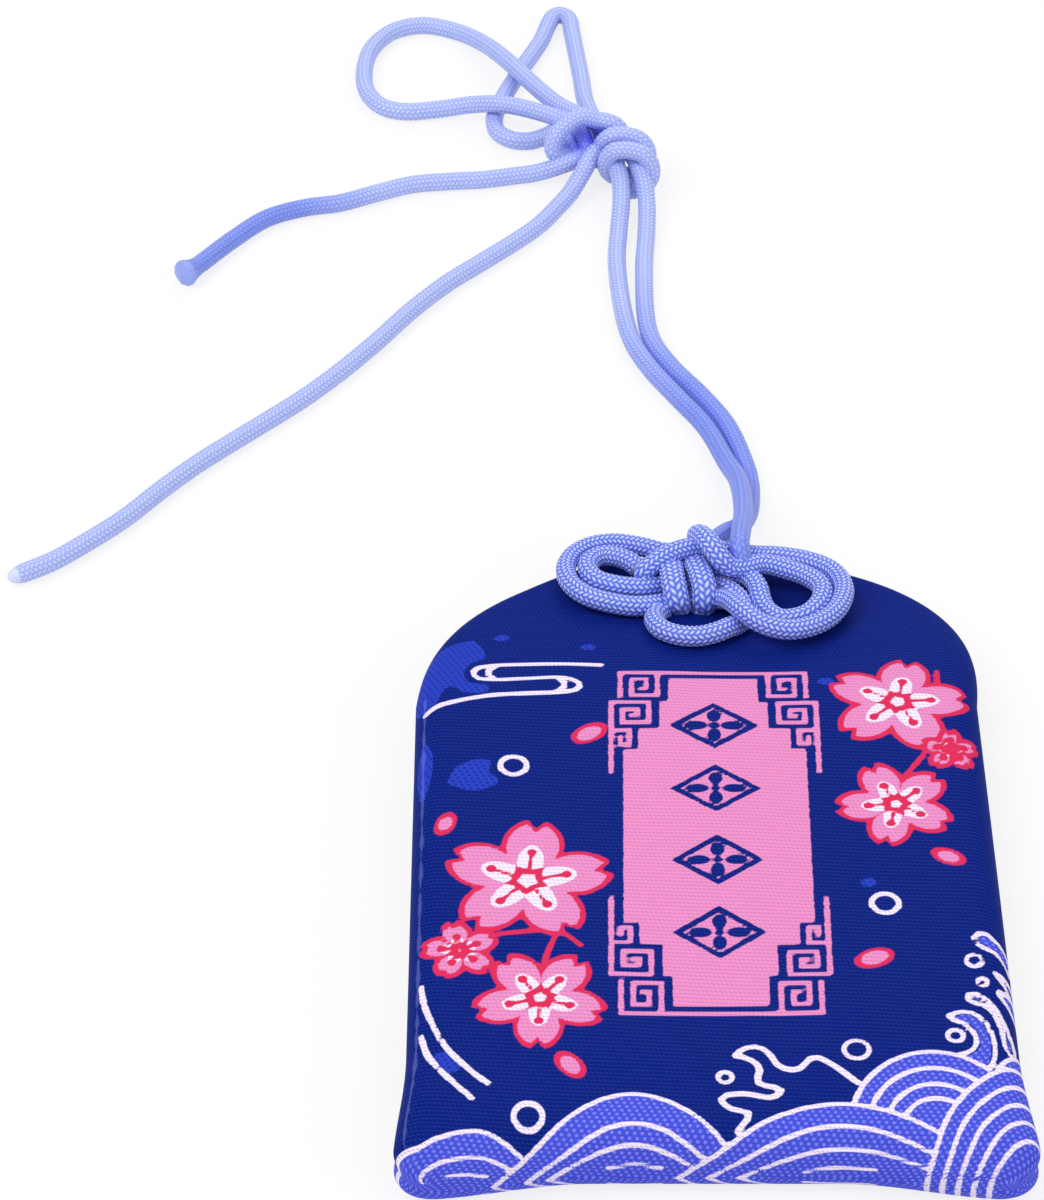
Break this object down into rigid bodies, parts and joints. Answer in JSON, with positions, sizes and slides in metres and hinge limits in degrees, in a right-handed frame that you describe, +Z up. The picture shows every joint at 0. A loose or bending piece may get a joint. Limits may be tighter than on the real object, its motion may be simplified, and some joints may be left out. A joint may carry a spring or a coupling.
{
  "type": "omamori charm",
  "caption": "Flat brocade charm pouch with rounded shoulders, a slip and stiffener inside, tied shut by an ornamental knot with a hanging cord that ends in a bow.",
  "frame": {"origin": "on the flat belly of the pouch's back, under the middle of the pouch, at table height", "axes": "+Z up off the table and out of the front, +Y from the bottom fold to the mouth, +X to the right as seen from the front"},
  "size_m": [0.0898, 0.1745, 0.0125],
  "materials": {
    "brocade": "woven satin brocade",
    "wadding": "soft felted wadding",
    "paper": "matte",
    "tag_wood": "planed, bare",
    "card": "matte grey board",
    "cord": "braided, slightly shiny"
  },
  "bodies": {
    "pouch": {"brocade_pouch": "brocade", "wadding_pad": "wadding", "stiffener_card": "card", "charm_knot": "cord"},
    "talisman": {"talisman_wrapper": "paper", "talisman_tag": "tag_wood"},
    "hanging_cord": {"neck_cord_left": "cord", "neck_cord_right": "cord", "bow_knot": "cord", "bow_loop_upright": "cord", "bow_loop_large": "cord", "tail_short": "cord", "tail_long": "cord"}
  },
  "joints": [
    {"name": "cord_swing", "type": "hinge", "parent": "pouch", "child": "hanging_cord", "pos_m": [0.0055, 0.0381, 0.0063], "axis": [1, 0, 0], "range_deg": [0, 90]},
    {"name": "talisman_slide", "type": "slide", "parent": "pouch", "child": "talisman", "axis": [0, 1, 0], "range_m": [0, 0.003]}
  ]
}
